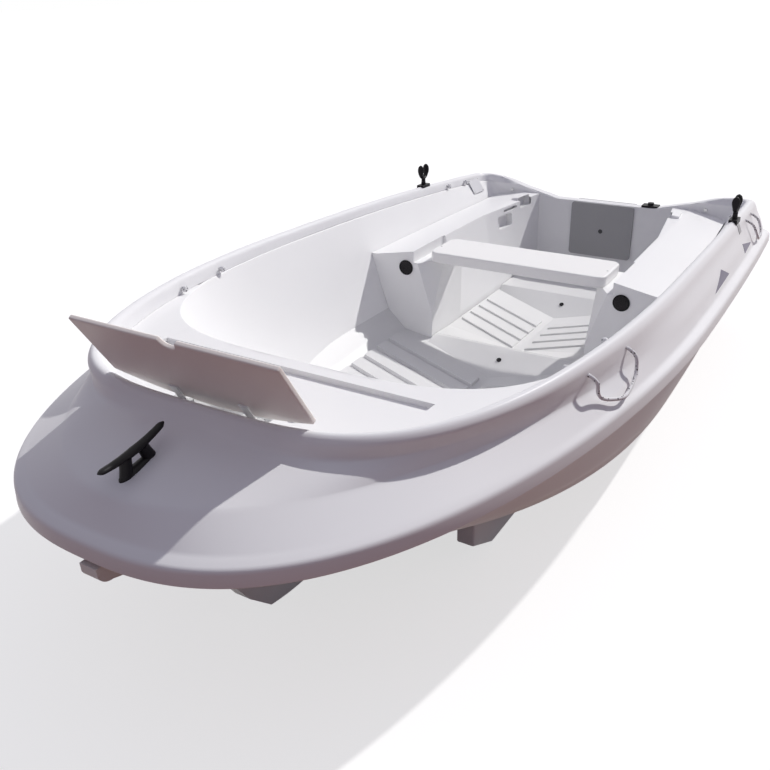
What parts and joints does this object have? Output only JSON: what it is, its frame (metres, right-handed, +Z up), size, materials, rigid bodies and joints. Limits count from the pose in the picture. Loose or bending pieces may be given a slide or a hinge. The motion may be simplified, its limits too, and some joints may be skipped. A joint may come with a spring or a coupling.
{
  "type": "rowing boat",
  "caption": "Small open rowing boat with a blunt bow, moulded side benches, a cross thwart, a hinged bow locker lid, swivelling rowlocks and a motor pad on the transom.",
  "frame": {"origin": "middle of the boat in plan, at the keel's foot, which is the floor it stands on", "axes": "+X towards the bow, +Y to port, +Z up"},
  "size_m": [3, 1.4902, 0.7925],
  "materials": {
    "hull_gelcoat": "glossy",
    "keel_band": "glossy",
    "deck_gelcoat": "glossy",
    "liner_gelcoat": "satin",
    "board_white": "satin",
    "pad_grey": "matte",
    "black_plastic": "satin",
    "black_rubber": "matte",
    "stainless": "brushed",
    "rope": "braided"
  },
  "bodies": {
    "boat": {"hull_shell": "hull_gelcoat", "keel": "keel_band", "bilge_runners": "hull_gelcoat", "deck_moulding": "deck_gelcoat", "transom_core": "deck_gelcoat", "cockpit_liner": "liner_gelcoat", "bow_deck": "liner_gelcoat", "bow_locker_tub": "liner_gelcoat", "lid_buffers": "black_rubber", "lid_hinge_posts": "stainless", "cockpit_sole": "liner_gelcoat", "floor_riser_forward": "liner_gelcoat", "aft_floor": "liner_gelcoat", "floor_riser_aft": "liner_gelcoat", "stern_platform": "liner_gelcoat", "side_bench_port": "liner_gelcoat", "side_bench_starboard": "liner_gelcoat", "thwart": "board_white", "motor_pad_inner": "pad_grey", "motor_pad_outer": "pad_grey", "pad_bolt": "stainless", "stern_socket": "black_plastic", "transom_bolts": "stainless", "bow_cleat": "black_plastic", "rowlock_socket_port": "black_plastic", "rowlock_socket_starboard": "black_plastic", "grab_rope_forward_port": "rope", "grab_rope_forward_starboard": "rope", "grab_rope_aft_port": "rope", "grab_rope_aft_starboard": "rope", "rope_knots": "rope", "bench_plugs": "black_plastic", "drain_plugs": "black_plastic"},
    "lid": {"bow_locker_lid": "board_white", "lid_hinge_leaves": "stainless"},
    "yoke_port": {"rowlock_port": "black_plastic"},
    "yoke_starboard": {"rowlock_starboard": "black_plastic"}
  },
  "joints": [
    {"name": "lid_hinge", "type": "hinge", "parent": "boat", "child": "lid", "pos_m": [1.119, 0, 0.591], "axis": [0, 1, 0], "range_deg": [-121.6, 0]},
    {"name": "rowlock_turn_port", "type": "hinge", "parent": "boat", "child": "yoke_port", "pos_m": [-0.93, 0.63774, 0.57443], "axis": [0, 0, 1], "range_deg": [-180, 180]},
    {"name": "rowlock_turn_starboard", "type": "hinge", "parent": "boat", "child": "yoke_starboard", "pos_m": [-0.93, -0.63774, 0.57443], "axis": [0, 0, 1], "range_deg": [-180, 180]}
  ]
}
